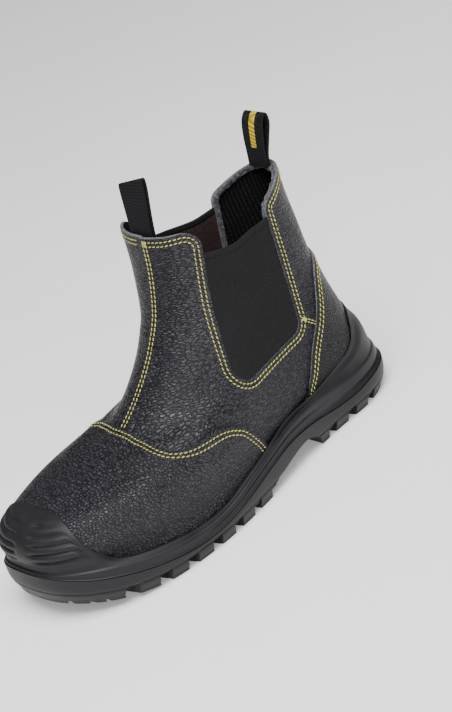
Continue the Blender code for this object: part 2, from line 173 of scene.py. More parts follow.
SWING_START, SWING_TIP, TOE_X = -20.0, -7.0, 150.0
# Side view of the cut-out for the elastic and of the collar line that it runs into: x, z, radius
CUT_OUT = {
    "above_front": (30, 215, 0),
    "collar_front": (30, 182, 0),
    "front_corner": (-36.8, 182, 12),
    "bottom_front": (-16.5, 72, 13),
    "bottom_rear": (-83, 77, 9),
    "rear_corner": (-93, 163, 8),
    "collar_back": (-139, 179, 0),
    "above_back": (-139, 215, 0),
}
LEATHER, UNEVEN = 2.2, 0.16
CUT_REACH = 120.0
SHELL_COLUMNS, SHELL_ROWS = 236, 96
# Half degrees round the boot: with some to spare at both ends, and once round
TURNS, ONE_TURN = np.radians(np.arange(-40, 401, 0.5)), np.linspace(0, 2 * pi, 721)
WELD_DISTANCE = 1e-6
# The outer quarter's edge down the front: how far past the middle, how proud, and how that fades
LAP_EDGE, LAP_HEIGHT, LAP_FLAT, LAP_FADE, LAP_SLIT = -2.8, 0.9, 0.15, 14.0, 0.05
LAP_COLUMNS = 18
LAP_LEAN, LAP_LEAN_CLIMB = 5.0, (4.2, 7.8)
# Soft folds in the leather, as troughs from one point to another: x, y, z of both ends, width, depth
SHELL_FOLDS = (
    ((-6, 20, 124), (-16, 37, 112), 5.0, 0.55),
    ((-4, 24, 112), (-12, 38, 100), 6.0, 0.45),
    ((-8, -20, 124), (-18, -34, 112), 5.0, 0.55),
    ((-97, 34, 92), (-100, 33, 140), 6.0, 0.5),
    ((-97, -32, 92), (-100, -31, 140), 6.0, 0.5),
)
PEBBLE_EDGE, PORE_SHARE, GRAIN_DEPTH = 0.3, 0.25, 0.5
LINING_RIB, LINING_HOLE, LINING_CLIMB = 3.0, 1.6, 6.0


def smooth_step(start, end, x):
    t = np.clip((x - start) / (end - start), 0, 1)
    return t * t * (3 - 2 * t)


def bump_at(x, middle, width):
    return np.exp(-((x - middle) / width) ** 2)


def unit(vectors):
    return vectors / np.linalg.norm(vectors, axis=-1, keepdims=True)


def run_length(line):
    """Length along a line of points, from its start."""
    return np.concatenate(((0.0,), np.cumsum(np.linalg.norm(np.diff(line, axis=0), axis=1))))


def swing(x):
    """How far the middle of the boot swings towards the inner side."""
    return SWING_TIP * np.maximum((x - SWING_START) / (TOE_X - SWING_START), 0) ** 2


def on_curve(table, place):
    """Rows of a table at places between them, on a smooth curve through the rows."""
    final = len(table) - 1
    low = np.clip(np.floor(place).astype(int), 0, final - 1)
    t = (place - low)[..., None]
    here, there = table[low], table[low + 1]
    before = np.where((low > 0)[..., None], table[low - 1], 2 * here - there)
    after = np.where((low + 1 < final)[..., None], table[np.minimum(low + 2, final)], 2 * there - here)
    return 0.5 * (2 * here + (there - before) * t + (2 * before - 5 * here + 4 * there - after) * t ** 2
                  + (3 * here - before - 3 * there + after) * t ** 3)


def outline(angle, level):
    """Level outline: angle 0 at the toe, pi at the heel, positive on the outer side."""
    front, back, fore_x, fore_lat, fore_med, rear_x, rear_w, front_n, back_n = np.moveaxis(level, -1, 0)
    x = (front + back) / 2 + (front - back) / 2 * np.cos(angle)
    outer = np.sin(angle) >= 0
    width = rear_w + (np.where(outer, fore_lat, fore_med) - rear_w) * smooth_step(rear_x, fore_x, x)
    toe = np.clip((x - fore_x) / (front - fore_x), 0, 1)
    heel = np.clip((rear_x - x) / (rear_x - back), 0, 1)
    ends = (1 - toe ** front_n) ** (1 / front_n) * (1 - heel ** back_n) ** (1 / back_n)
    return x, np.where(outer, 1, -1) * width * ends + swing(x)


def level_z(row, x):
    """Height along a level line of the last, which dips at the ball."""
    front_x, front_z, back_x, back_z, dip = np.moveaxis(row[..., :5], -1, 0)
    along = np.clip((x - back_x) / (front_x - back_x), 0, 1)
    return back_z + (front_z - back_z) * along - dip * np.sin(pi * along ** DIP_PLACE) ** 2


def last_point(angle, climb):
    """Outer face of the leather; climb counts the level lines of the last."""
    angle, climb = np.broadcast_arrays(np.asarray(angle, float), np.asarray(climb, float))
    row = on_curve(LAST, climb)
    x, y = outline(angle, row[..., LEVEL_COLUMNS])
    return np.stack((x, y, level_z(row, x)), -1) - CENTRE


def last_slopes(angle, climb):
    """Steps on the leather for a small turn and a small climb."""
    turn, lift = 0.03, 0.03
    high, low = np.minimum(climb + lift, TOP), climb - lift
    across = (last_point(angle + turn, climb) - last_point(angle - turn, climb)) / (2 * turn)
    upwards = (last_point(angle, high) - last_point(angle, low)) / (high - low)[..., None]
    return across, upwards


def off_last(angle, climb, distance):
    """Points at a distance outside the leather."""
    angle, climb, distance = np.broadcast_arrays(*(np.asarray(v, float) for v in (angle, climb, distance)))
    return last_point(angle, climb) + distance[..., None] * unit(np.cross(*last_slopes(angle, climb)))


def angle_at(climb, arc, start=0.0):
    """Angle of the points that lie an arc's length round the boot from an angle, 0 being its front."""
    length = run_length(last_point(TURNS, climb))
    return np.interp(arc + np.interp(start, TURNS, length), length, TURNS)


def girth(climb):
    return run_length(last_point(ONE_TURN, climb))[-1]


def folded(points, folds):
    """Depth of soft troughs at points, each a trough along a line."""
    depth = np.zeros(points.shape[:-1])
    for start, end, width, deep in folds:
        start, along = np.array(start, float), np.subtract(end, start)
        share = np.clip((points - start) @ along / (along @ along), 0, 1)
        away = np.linalg.norm(points - start - share[..., None] * along, axis=-1)
        depth += deep * bump_at(away, 0, width)
    return depth


def unevenness(points):
    """Slow, low waves of hand-lasted leather."""
    x, y, z = np.moveaxis(points, -1, 0)
    waves = np.sin(x / 9 + 1.3 * np.sin(z / 13)) + np.sin(z / 11 + y / 15 + 2) + np.sin((x - z) / 17 + y / 8)
    return UNEVEN * waves


def lap_edge(climb):
    """Arc from the middle of the front to the outer quarter's edge, which leans outwards up the shaft."""
    return LAP_EDGE + LAP_LEAN * smooth_step(*LAP_LEAN_CLIMB, climb)


def lap_height(arc):
    """How proud the outer quarter lies at an arc's length past its edge."""
    return np.where(arc < 0, 0, LAP_HEIGHT * (1 - smooth_step(LAP_FLAT * LAP_FADE, LAP_FADE, arc)))


def select_only(piece):
    bpy.ops.object.select_all(action="DESELECT")
    piece.select_set(True)
    bpy.context.view_layer.objects.active = piece


def laid_grid(name, points, *finishes):
    """Grid whose corners lie on rows of points; it keeps its flat UV map."""
    points = np.asarray(points)
    rows, columns = points.shape[0] - 1, points.shape[1] - 1
    bpy.ops.mesh.primitive_grid_add(x_subdivisions=columns, y_subdivisions=rows, size=1)
    piece = bpy.context.object
    piece.name = piece.data.name = name
    for finish in finishes:
        piece.data.materials.append(finish)
    corners = np.empty(len(piece.data.vertices) * 3)
    piece.data.vertices.foreach_get("co", corners)
    share = corners.reshape(-1, 3) + 0.5
    column, row = np.rint(share[:, 0] * columns).astype(int), np.rint(share[:, 1] * rows).astype(int)
    piece.data.vertices.foreach_set("co", (points[row, column] * MM).ravel())
    piece.data.update()
    return piece


def apply_modifier(piece, kind, **settings):
    modifier = piece.modifiers.new(kind.lower(), kind)
    for name, value in settings.items():
        setattr(modifier, name, value)
    select_only(piece)
    bpy.ops.object.modifier_apply(modifier=modifier.name)


def shade(piece, angle):
    """Smooth shading, with edges sharper than an angle in degrees left crisp."""
    select_only(piece)
    bpy.ops.object.shade_smooth_by_angle(angle=radians(angle))


def rounded(corners, steps=10):
    """Outline through corners with their arcs."""
    points = []
    corners = [np.array(corner, float) for corner in corners]
    for before, (x, z, radius), after in zip(corners[-1:] + corners, corners, corners[1:] + corners[:1]):
        corner = np.array((x, z))
        if not radius:
            points.append(corner)
            continue
        to_before, to_after = unit(before[:2] - corner), unit(after[:2] - corner)
        half = acos(np.clip(to_before @ to_after, -1, 1)) / 2
        start, end = corner + to_before * radius / tan(half), corner + to_after * radius / tan(half)
        middle = corner + unit(to_before + to_after) * radius / sin(half)
        first = atan2(*(start - middle)[::-1])
        sweep = remainder(atan2(*(end - middle)[::-1]) - first, 2 * pi)
        turns = first + sweep * np.linspace(0, 1, steps + 1)
        points.extend(middle + radius * np.array((cos(turn), sin(turn))) for turn in turns)
    return np.array(points)


def welded_solid(name, points, *finishes):
    """Closed solid through rows of points: corners that meet are joined and open ends are capped."""
    solid = laid_grid(name, points, *finishes)
    bpy.ops.object.mode_set(mode="EDIT")
    bpy.ops.mesh.select_all(action="SELECT")
    bpy.ops.mesh.remove_doubles(threshold=WELD_DISTANCE)
    bpy.ops.mesh.select_mode(type="EDGE")
    bpy.ops.mesh.select_all(action="DESELECT")
    bpy.ops.mesh.select_non_manifold(extend=False)
    bpy.ops.mesh.fill_holes(sides=0)
    bpy.ops.mesh.select_all(action="SELECT")
    bpy.ops.mesh.normals_make_consistent(inside=False)
    bpy.ops.object.mode_set(mode="OBJECT")
    return solid


def side_prism(name, points, near_y, far_y):
    """Cutter: a side view swept across the boot."""
    ring = np.array([*points, points[0]])
    return welded_solid(name, [[(x - CENTRE[0], y, z) for y in (near_y, far_y)] for x, z in ring])


def cut(piece, cutter, operation, finish):
    """Boolean with a cutter, whose faces leave a finish on the piece."""
    cutter.data.materials.append(finish)
    apply_modifier(piece, "BOOLEAN", operation=operation, solver="EXACT", object=cutter,
                   material_mode="TRANSFER")
    bpy.data.objects.remove(cutter)


def leather_finish(name, grain, wander, tones):
    """Full-grain cowhide, dyed black and pigment coated: pebbles of a size in mm, satin on their tops, with
    painted shade dark in the creases between them and lighter tops.
    """
    finish, tree, shader, place = new_finish(name, {"IOR": 1.5, "Specular IOR Level": 0.3})
    squeeze = add_node(tree, "Mapping", {"Vector": place.outputs["Object"],
                                         "Scale": [1000 / size for size in grain]})
    stray = add_node(tree, "TexNoise", {"Vector": squeeze, "Scale": 0.7, "Detail": 2.0})
    bent = add_node(tree, "VectorMath", {0: stray.outputs["Color"], 1: [wander] * 3, 2: squeeze},
                    operation="MULTIPLY_ADD")
    cells = add_node(tree, "TexVoronoi", {"Vector": bent, "Scale": 1.0}, feature="DISTANCE_TO_EDGE")
    pebbles = add_node(tree, "MapRange", {"Value": cells, "From Max": PEBBLE_EDGE},
                       interpolation_type="SMOOTHSTEP")
    pores = add_node(tree, "TexNoise", {"Vector": squeeze, "Scale": 2.6, "Detail": 3.0})
    patches = add_node(tree, "TexNoise", {"Vector": place.outputs["Object"], "Scale": 55.0, "Detail": 3.0})
    height = add_node(tree, "Mix", {"Factor": PORE_SHARE, "A": pebbles, "B": pores})
    # Painted shade: the bump's height also colours the hide, dark in the creases and lighter on the pebbles'
    # tops
    tone = add_node(tree, "ValToRGB", {"Fac": height}, ((0.1, tones[0]), (0.75, tones[1])))
    worn = add_node(tree, "MapRange", {"Value": patches, "From Min": 0.3, "From Max": 0.7,
                                       "To Min": 0.40, "To Max": 0.52})
    dull = add_node(tree, "Math", {0: pebbles, 1: -0.12, 2: worn}, operation="MULTIPLY_ADD")
    relief = add_node(tree, "Bump", {"Height": height, "Strength": 1.0, "Distance": GRAIN_DEPTH * MM})
    set_inputs(shader, {"Base Color": tone, "Roughness": dull, "Normal": relief})
    return finish


# The shaft's hide is drawn up round the ankle, so its grain lies in short level wrinkles
shaft_leather = leather_finish("black_grained_cowhide_shaft", (4.3, 4.3, 1.35), 0.8, ("#050506", "#2d2c34"))

# Cut edge of the hide: undyed grey fibre with loose ends
raw_edge = speckled_finish("raw_leather_edge", {"Roughness": 0.92}, 900.0, 4.0,
                           ((0.32, "#2a2a2f"), (0.68, "#74757d")), (0.8, 0.3))

# Lining: black knitted spacer mesh, soft upright ribs about 3 mm apart with small dark holes between
lining, tree, shader, place = new_finish("black_mesh_lining",
                                         {"Roughness": 0.95, "Specular IOR Level": 0.15})
rib_scale = girth(LINING_CLIMB) / LINING_RIB / pi
ribs = add_node(tree, "TexWave", {"Vector": place.outputs["UV"], "Scale": rib_scale, "Distortion": 0.4,
                                  "Detail": 1.0, "Detail Scale": 3.0})
holes = add_node(tree, "TexVoronoi", {"Vector": place.outputs["Object"], "Scale": 1000 / LINING_HOLE})
knit = add_node(tree, "Math", {0: ribs.outputs["Fac"], 1: holes}, operation="MULTIPLY")
set_inputs(shader, {
    "Base Color": add_node(tree, "ValToRGB", {"Fac": knit}, ((0.05, "#070707"), (0.6, "#1e1d1c"))),
    "Normal": add_node(tree, "Bump", {"Height": knit, "Strength": 0.9, "Distance": 0.6 * MM}),
})

lap_share = LAP_COLUMNS / SHELL_COLUMNS
shares = np.linspace(0, 1, SHELL_COLUMNS + 1)
shell_points = []
for climb in np.linspace(0, TOP, SHELL_ROWS + 1):
    rest = girth(climb) - LAP_FADE - LAP_SLIT
    arc = np.where(shares < lap_share, shares / lap_share * LAP_FADE,
                   LAP_FADE + (shares - lap_share) / (1 - lap_share) * rest)
    angle = angle_at(climb, lap_edge(climb) + arc)
    bare = last_point(angle, climb)
    proud = lap_height(arc) + unevenness(bare) - folded(bare, SHELL_FOLDS)
    shell_points.append(off_last(angle, climb, proud))
shell = laid_grid("leather_shell", shell_points, shaft_leather, lining, raw_edge)
apply_modifier(shell, "SOLIDIFY", thickness=LEATHER * MM, offset=-1, use_even_offset=True, material_offset=1,
               material_offset_rim=2)
opening = side_prism("opening", rounded(CUT_OUT.values()), -CUT_REACH, CUT_REACH)
cut(shell, opening, "DIFFERENCE", raw_edge)
shade(shell, 40)
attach(shell, "root")
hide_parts("upper")


# Elastic panels: wide charcoal elastic woven with fine upright ribs, set behind the leather's edges,
# with a turned hem along the top. The inner face is a dark red-brown knit.
ELASTIC, ELASTIC_RECESS = 1.6, 0.5
ELASTIC_TOP = {"front": (-32.5, 163.0), "rear": (-92.2, 155.0)}
ELASTIC_SAG, ELASTIC_DROP = 3.0, 92.0
ELASTIC_X = (-97.0, -16.5)
ABOVE_FRONT, ABOVE_REAR = (-37.5, 200, 0), (-97.5, 200, 0)
RIB_PITCH, RIB_DEPTH, RIB_STEPS = 1.7, 0.14, 4
HEM, HEM_PROUD, HEM_CREASE, HEM_CREASE_WIDTH = 3.4, 0.35, 0.25, 0.5
# Below the top: where the ribs start, the step at the hem's end, its crease and the end of its fine rows
RIBS_FROM, HEM_STEP, HEM_CREASE_AT, HEM_FINE = 0.6 * HEM, (0.9 * HEM, 1.02 * HEM), 1.12 * HEM, 1.3 * HEM
HEM_ROWS, ELASTIC_ROWS = 12, 34
TUCKED_IN = 0.8
LOWEST_CLIMB, HALVINGS = 0.5, 32


def last_at(x, z, side):
    """Angle and climb of the leather that shows at (x, z) from the side, both as in CUT_OUT."""
    x, z = np.broadcast_arrays(np.asarray(x, float), np.asarray(z, float))
    low, high = np.full(x.shape, LOWEST_CLIMB), np.full(x.shape, TOP)
    for _ in range(HALVINGS):
        climb = (low + high) / 2
        row = on_curve(LAST, climb)
        angle = np.arccos(np.clip((2 * x - row[..., 0] - row[..., 2]) / (row[..., 0] - row[..., 2]), -1, 1))
        above = last_point(angle, climb)[..., 2] > z
        high, low = np.where(above, climb, high), np.where(above, low, climb)
    return side * angle, climb


# Elastic webbing: matt, with a fine speckle of the covered rubber threads
elastic_finish = speckled_finish("charcoal_ribbed_elastic", {"Roughness": 0.9, "Specular IOR Level": 0.15},
                                 1300.0, 2.0, ((0.3, "#181819"), (0.7, "#222224")), (0.5, 0.15))

# Knitted back of the elastic: dull red-brown with a speckle of black
knit_back = speckled_finish("red_brown_elastic_back", {"Roughness": 0.95, "Specular IOR Level": 0.15},
                            1100.0, 2.0, ((0.35, "#281c1c"), (0.7, "#402f30")))

(front_x, front_z), (rear_x, rear_z) = ELASTIC_TOP.values()
columns = int((ELASTIC_X[1] - ELASTIC_X[0]) / RIB_PITCH * RIB_STEPS)
x = np.linspace(*ELASTIC_X, columns + 1)
share = (x - rear_x) / (front_x - rear_x)
top_z = rear_z + (front_z - rear_z) * share - 4 * ELASTIC_SAG * np.clip(share * (1 - share), 0, 1)
below = np.concatenate((np.linspace(0, HEM_FINE, HEM_ROWS),
                        np.linspace(HEM_FINE, ELASTIC_DROP, ELASTIC_ROWS)[1:]))
hem = HEM_PROUD * (1 - smooth_step(*HEM_STEP, below))
hem = hem - HEM_CREASE * bump_at(below, HEM_CREASE_AT, HEM_CREASE_WIDTH)
ribs = RIB_DEPTH * np.cos(2 * pi * x / RIB_PITCH) * smooth_step(RIBS_FROM, HEM, below)[:, None]
outer_face = ribs + hem[:, None] - ELASTIC_RECESS
inner_face = np.broadcast_to(-hem[:, None] - ELASTIC_RECESS - ELASTIC, outer_face.shape)
drops = np.concatenate((below[::-1], below, below[-1:]))
depths = np.concatenate((outer_face[::-1], inner_face, outer_face[-1:]))
knit_rows = len(below) + np.searchsorted(below, HEM), 2 * len(below) - 1
panel_shape = rounded([ABOVE_FRONT, CUT_OUT["bottom_front"], CUT_OUT["bottom_rear"], ABOVE_REAR])
panel_shape = panel_shape + TUCKED_IN * unit(panel_shape - panel_shape.mean(axis=0))
for side, node in ((1, "gusset_lateral"), (-1, "gusset_medial")):
    angle, climb = last_at(x[None, :], top_z[None, :] - drops[:, None], side)
    panel = welded_solid("elastic_" + node, off_last(angle, climb, depths), elastic_finish, knit_back)
    row = np.arange(len(panel.data.polygons)) // columns
    knitted = (row >= knit_rows[0]) & (row < knit_rows[1])
    panel.data.polygons.foreach_set("material_index", knitted.astype(np.int32))
    cut(panel, side_prism("panel_shape", panel_shape, 0, side * CUT_REACH), "INTERSECT", elastic_finish)
    shade(panel, 45)
    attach(panel, "root")
    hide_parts(node)


# Pull tabs: loops of woven polyester webbing sewn inside the collar, plain black in front.
# The back one stands up as an open loop, gathered at its foot, with a yellow stripe woven along it.
TAB_WIDTH, WEBBING, WEBBING_EDGE = 21.5, 1.4, 0.3
FRONT_TAB = np.array((
    (-13.8, 158), (-17.2, 182), (-19.0, 197), (-20.8, 211.8), (-22.0, 213.8), (-23.2, 211.4), (-21.4, 196.8),
    (-19.4, 181.6), (-16.0, 158)))
BACK_TAB = np.array((
    (-121.0, 174.5), (-121.9, 180), (-126.8, 192), (-131.0, 202), (-130.2, 208), (-125.6, 204),
    (-122.0, 192.5), (-119.6, 180), (-118.8, 174.5)))
GATHER_Z, GATHER, LOOP_WIDTH = (181.0, 200.0), 0.82, 0.92
# How far the front tab's outer corner leans back and stands up
TWIST_Z, TWIST = (182.0, 213.0), (-3.5, 4.5)
TAB_ROWS, TAB_COLUMNS = 14, 120
YARN, YARN_LAY = 0.9, (0.5, 0.6, 0.2)
# The woven stripe: its width, and its share of the webbing's length to both sides of the loop's top
STRIPE, STRIPE_SHARE = 6.0, 0.3


def webbing_finish(name, stripe):
    """Polyester webbing: a fine diagonal twill of filament yarns, drawn at 0.9 mm so that it shows."""
    finish, tree, shader, place = new_finish(name, {"Roughness": 0.8, "Specular IOR Level": 0.2})
    lay = add_node(tree, "Mapping", {"Vector": place.outputs["Object"], "Scale": [1000 / YARN] * 3,
                                     "Rotation": YARN_LAY})
    wave = add_node(tree, "TexWave", {"Vector": lay, "Scale": 0.32, "Distortion": 0.6, "Detail": 1.0})
    twill = wave.outputs["Fac"]
    tone = add_node(tree, "ValToRGB", {"Fac": twill}, ((0.2, "#09090b"), (0.8, "#16161a")))
    if stripe:
        bright = add_node(tree, "ValToRGB", {"Fac": twill}, ((0.1, "#8a7412"), (0.8, "#cdb02c")))
        spot = add_node(tree, "SeparateXYZ", {"Vector": place.outputs["UV"]})
        within = [add_node(tree, "Math", {0: spot.outputs[axis], 1: 0.5, 2: limit}, operation="COMPARE")
                  for axis, limit in (("X", STRIPE_SHARE), ("Y", stripe / TAB_WIDTH / 2))]
        inside = add_node(tree, "Math", dict(enumerate(within)), operation="MULTIPLY")
        tone = add_node(tree, "MixRGB", {"Fac": inside, "Color1": tone, "Color2": bright})
    relief = add_node(tree, "Bump", {"Height": twill, "Strength": 0.6, "Distance": 0.2 * MM})
    set_inputs(shader, {"Base Color": tone, "Normal": relief})
    return finish


def make_tab(name, node, folds, widths, twist, finish):
    """Webbing bent along its folds: its width at the foot and in the loop, how its outer corner is moved."""
    path = on_curve(folds, np.linspace(0, len(folds) - 1, TAB_COLUMNS + 1))
    width = TAB_WIDTH * (widths[0] + (widths[1] - widths[0]) * smooth_step(*GATHER_Z, path[:, 1]))
    share = np.linspace(0.5, -0.5, TAB_ROWS + 1)[:, None]
    outer = (share + 0.5) * smooth_step(*TWIST_Z, path[:, 1])
    points = np.stack((path[:, 0] + twist[0] * outer, share * width, path[:, 1] + twist[1] * outer), -1)
    tab = laid_grid(name, points - CENTRE, finish)
    apply_modifier(tab, "SOLIDIFY", thickness=WEBBING * MM, offset=0)
    apply_modifier(tab, "BEVEL", width=WEBBING_EDGE * MM, segments=2, limit_method="ANGLE",
                   angle_limit=radians(60))
    shade(tab, 45)
    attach(tab, "root")
    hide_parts(node)


make_tab("front_pull_tab", "pull_tab_front", FRONT_TAB, (1, 1), TWIST, webbing_finish("black_webbing", 0))
make_tab("back_pull_tab", "pull_tab_back", BACK_TAB, (GATHER, LOOP_WIDTH), (0, 0),
         webbing_finish("black_and_yellow_webbing", STRIPE))


# Vamp: one piece of the same hide over toes and instep, lasted under the sole. Its upper edge runs in a wave
# from the instep down to the waist on both sides, where it is sewn onto the quarters.
PANEL_TOP, PANEL = 1.75, 1.6
# How much thinner the hide is shaved at its edge, and from what share of its height on
SKIVE, SKIVE_SHARES = 0.35, (0.965, 1.0)
# Line where the sole's rim meets the leather, from the toe round to the heel: degrees, climb
RIM = (
    (0, 2.45), (12, 2.36), (22, 2.10), (29, 1.55), (33, 0.85), (36, 0.25), (38.5, -0.10), (42, -0.27),
    (48, -0.35), (57, -0.38), (66, -0.41), (74, -0.40), (79, -0.33), (83, -0.23), (87, -0.12), (92, -0.04),
    (96, 0.04), (100.5, 0.13), (105, 0.22), (109, 0.26), (118, 0.26), (124.7, 0.30), (130.4, 0.46),
    (136.7, 0.70), (146, 1.05), (152.3, 1.45), (157, 1.78), (165, 1.97), (180, 2.05))
PANEL_FOOT, PANEL_TUCK = 0.12, 0.12
PANEL_ROWS, ROW_CROWDING = 56, 1.3
# Upper edge, from the middle of the instep down to the sole: degrees, climb
VAMP_EDGE = (
    (0, 4.22), (10, 4.18), (17, 4.11), (27.7, 3.92), (39.4, 3.65), (49.7, 3.32), (57, 3.02), (62.4, 2.76),
    (66.6, 2.58), (70.3, 2.445), (73.8, 2.36), (77, 2.31), (80.2, 2.265), (83.5, 2.185), (87.1, 2.03),
    (90.8, 1.775), (93.9, 1.435), (95.8, 1.015), (97.3, 0.565), (98.6, 0.05))
VAMP_INNER_RISE, VAMP_INNER_ANGLES = 0.13, (0.0, 40.0, 60.0, 95.0)
VAMP_COLUMNS, EDGE_POINTS = 260, 2000
VAMP_FOLDS = (
    ((66, -22, 66), (60, 12, 68), 7.0, 0.5),
    ((84, -30, 60), (82, 28, 62), 9.0, 0.6),
    ((40, 30, 62), (28, 44, 46), 8.0, 0.4),
)

# Over the toes the hide is smoother and its grain rounder
vamp_leather = leather_finish("black_grained_cowhide_vamp", (2.3, 2.6, 1.6), 0.6, ("#050506", "#2d2c34"))


def eased(knots, values, place):
    """Values at places between knots, on a smooth curve through them that is level at both ends."""
    knots, values = np.asarray(knots, float), np.asarray(values, float)
    slope = np.gradient(values, knots, axis=0)
    slope[0] = slope[-1] = 0
    k = np.clip(np.searchsorted(knots, place) - 1, 0, len(knots) - 2)
    lift = (...,) + (None,) * (values.ndim - 1)
    wide = (knots[k + 1] - knots[k])[lift]
    t = ((place - knots[k]) / (knots[k + 1] - knots[k]))[lift]
    return ((1 + 2 * t) * (1 - t) ** 2 * values[k] + t * (1 - t) ** 2 * wide * slope[k]
            + t * t * (3 - 2 * t) * values[k + 1] + t * t * (t - 1) * wide * slope[k + 1])


def sewn_edge(edge, columns):
    """Angle and climb along the outer half of a panel's edge, in even steps."""
    knots, values = np.array(edge, float).T
    fine = np.linspace(knots[0], knots[-1], EDGE_POINTS)
    climb = eased(knots, values, fine)
    length = run_length(last_point(np.radians(fine), climb))
    even = np.linspace(0, length[-1], columns + 1)
    return np.radians(np.interp(even, length, fine)), np.interp(even, length, climb)


def make_panel(name, node, angle, edge_climb, folds, finish):
    """Hide laid over the shell from below the sole's rim up to its sewn edge, with the cut edge showing."""
    share = 1 - (1 - np.linspace(0, 1, PANEL_ROWS + 1)[:, None]) ** ROW_CROWDING
    rim_climb = eased(*np.array(RIM).T, np.degrees(np.arccos(np.cos(angle))))
    foot = np.minimum(PANEL_FOOT, rim_climb - PANEL_TUCK)
    climb = foot + (edge_climb - foot) * share
    bare = last_point(angle, climb)
    height = PANEL_TOP - SKIVE * smooth_step(*SKIVE_SHARES, share) + unevenness(bare) - folded(bare, folds)
    panel = laid_grid(name, off_last(angle, climb, height), finish, raw_edge)
    apply_modifier(panel, "SOLIDIFY", thickness=PANEL * MM, offset=-1, material_offset_rim=1)
    shade(panel, 50)
    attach(panel, "root")
    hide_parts(node)


vamp_angle, vamp_climb = sewn_edge(VAMP_EDGE, VAMP_COLUMNS // 2)
start, full, ebb, end = np.radians(VAMP_INNER_ANGLES)
inner_rise = VAMP_INNER_RISE * smooth_step(start, full, vamp_angle) * smooth_step(end, ebb, vamp_angle)
inner_climb = vamp_climb + inner_rise
make_panel("vamp_panel", "vamp", np.concatenate((-vamp_angle[:0:-1], vamp_angle)),
           np.concatenate((inner_climb[:0:-1], vamp_climb)), VAMP_FOLDS, vamp_leather)


# Heel counter: a piece of hide pressed over a stiffener and wrapped round the heel, over the quarters.
# Like the vamp it is lasted under the sole and sewn along its edge.
COUNTER_EDGE = (
    (118.7, 0.20), (121.3, 0.75), (123.8, 1.20), (127, 1.68), (131, 2.30), (134.6, 2.95), (138, 3.75),
    (142, 4.30), (150, 4.70), (165, 4.85), (180, 4.88))
COUNTER_COLUMNS = 200

# Pressed over the stiffener, the counter's hide is flatter and finer in grain. Its top tone is darker than
# the same hide's on the shaft and vamp: painted shade, to hold down the room light that it catches.
counter_leather = leather_finish("black_pressed_cowhide_counter", (1.9, 1.9, 1.5), 0.5,
                                 ("#050506", "#19191c"))


def all_round(angle, climb):
    """A path on the outer half of the boot, carried on round the heel over the inner half."""
    return np.concatenate((angle, 2 * pi - angle[-2::-1])), np.concatenate((climb, climb[-2::-1]))


counter_angle, counter_climb = sewn_edge(COUNTER_EDGE, COUNTER_COLUMNS // 2)
make_panel("heel_counter_panel", "heel_counter", *all_round(counter_angle, counter_climb), (),
           counter_leather)


# Stitching: thick pale yellow polyester thread in pairs of lockstitch rows along every edge of the leather,
# with bar tacks where the seams meet.
STITCH, PITCH, THREAD, THREAD_FLAT = 2.6, 3.1, 0.9, 0.8
ROWS = (2.6, 2.6 + 2.8)
THREAD_SINK, STITCH_STEP = 0.12, 0.5
SLANT = radians(12)
FRONT_ROWS, FRONT_SEAM, FRONT_TACK, FRONT_TACK_INSET = (3.0, 5.8), (7.78, 4.13), (7.83, 7.72), 0.4
BACK_CENTRE_ROWS, BACK_CENTRE_SEAM = (-2.2, 2.2), (7.42, 4.92)
# Short seam from the cut-out's lower rear corner back to the counter: x, z of its ends
BACK_SEAM = ((-88.0, 81.3), (-96.4, 73.3))
BACK_SEAM_ROWS, BACK_SEAM_PITCH = (-0.9, 0.9), 2.9
TACK_LENGTH, TACK_PITCH, TACK_HEIGHT = 3.6, 0.8, 0.3
FRONT_POINTS, BACK_POINTS, SHORT_POINTS, TACK_POINTS, COLLAR_STEP = 200, 120, 40, 20, 0.5

# Bonded thread: soft sheen, twisted plies that leave olive shadows between them
thread = speckled_finish("yellow_polyester_thread", {"Roughness": 0.55, "Sheen Weight": 0.2}, 900.0, 2.0,
                         ((0.25, "#6e6a1c"), (0.6, "#cbc664")), (0.5, 0.15))


def beside_line(points, distance):
    """An open line in the side view drawn again at a distance, to the left of its run."""
    along = unit(np.gradient(points, axis=0))
    return points + distance * np.stack((-along[:, 1], along[:, 0]), -1)


def beside_path(angle, climb, distance):
    """A path on the leather drawn again at a distance, to the left of its run seen from outside."""
    across, upwards = last_slopes(angle, climb)
    along = unit(np.gradient(last_point(angle, climb), axis=0))
    away = distance * unit(np.cross(np.cross(across, upwards), along))
    aa, au, uu = ((p * q).sum(-1) for p, q in ((across, across), (across, upwards), (upwards, upwards)))
    pa, pu = (away * across).sum(-1), (away * upwards).sum(-1)
    spread = aa * uu - au * au
    return angle + (pa * uu - pu * au) / spread, climb + (pu * aa - pa * au) / spread


